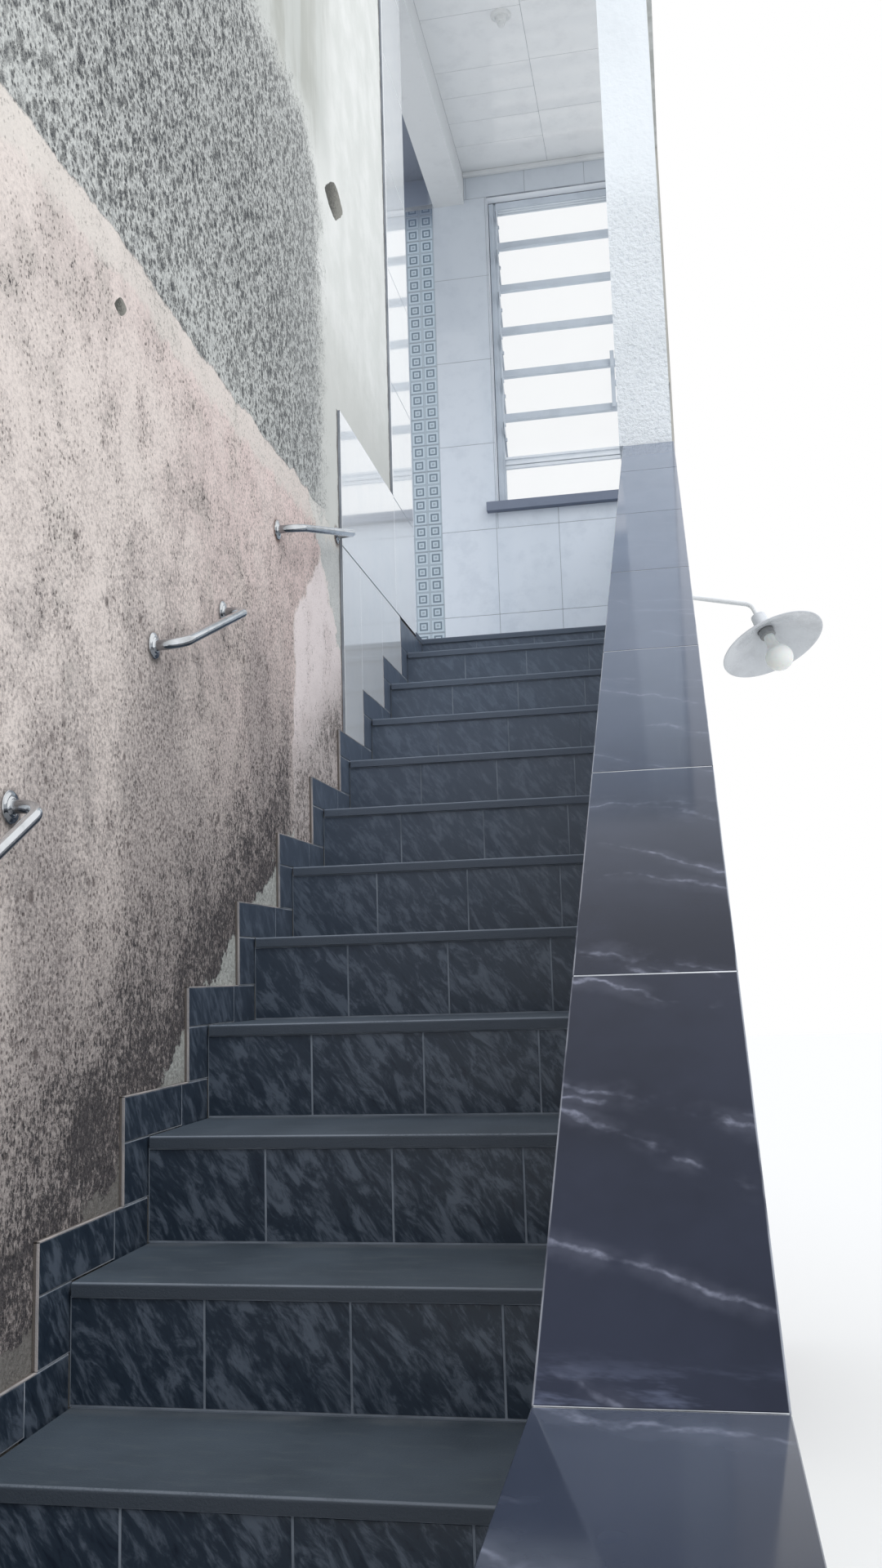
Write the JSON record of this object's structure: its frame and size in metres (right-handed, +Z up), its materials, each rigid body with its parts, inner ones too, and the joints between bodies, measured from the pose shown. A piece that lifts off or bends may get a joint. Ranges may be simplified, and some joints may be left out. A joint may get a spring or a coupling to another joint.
{
  "type": "exterior masonry stair",
  "caption": "Straight tiled masonry stair between a tall side wall and a capped parapet, rising to a covered landing with a window.",
  "frame": {"origin": "middle of the bounding box at the ground, the plane the stair stands on", "axes": "+Z up; +Y along the flight, from its foot towards the landing; +X from the side wall towards the parapet"},
  "size_m": [1.7262, 6.3014, 5.906],
  "materials": {
    "masonry": "cement-rendered brick, plain",
    "pink_plaster": "weathered matt plaster",
    "grey_render": "rough cement render",
    "white_plaster": "textured white plaster",
    "white_tile": "glazed",
    "concrete": "bare concrete",
    "slate": "honed dark stone",
    "dark_tile": "glazed, marbled",
    "black_tile": "polished, veined",
    "window_steel": "grey paint",
    "window_glass": "clear",
    "stainless": "polished",
    "lamp_enamel": "white enamel",
    "bulb": "opal",
    "light_plastic": "white"
  },
  "bodies": {
    "root": {"left_wall": "masonry", "lower_plaster": "pink_plaster", "upper_render": "grey_render", "left_wall_tiles": "white_tile", "flight": "concrete", "step_blocks": "concrete", "landing_slab": "concrete", "landing_floor": "slate", "tread_01": "slate", "tread_02": "slate", "tread_03": "slate", "tread_04": "slate", "tread_05": "slate", "tread_06": "slate", "tread_07": "slate", "tread_08": "slate", "tread_09": "slate", "tread_10": "slate", "tread_11": "slate", "tread_12": "slate", "tread_13": "slate", "tread_14": "slate", "tread_15": "slate", "tread_16": "slate", "riser_tiles": "dark_tile", "skirting": "dark_tile", "parapet_wall": "white_plaster", "parapet_cap": "black_tile", "pillar": "white_plaster", "far_wall_left": "masonry", "far_wall_right": "masonry", "far_wall_middle": "masonry", "far_wall_tiles": "white_tile", "window_frame": "window_steel", "window_glass": "window_glass", "window_sill": "slate", "side_beam": "white_plaster", "roof_slab": "white_plaster", "ceiling_light": "light_plastic", "grab_bar_low": "stainless", "grab_bar_middle": "stainless", "grab_bar_high": "stainless", "lamp_arm": "lamp_enamel", "lamp_shade": "lamp_enamel", "lamp_bulb": "bulb"}
  },
  "joints": []
}
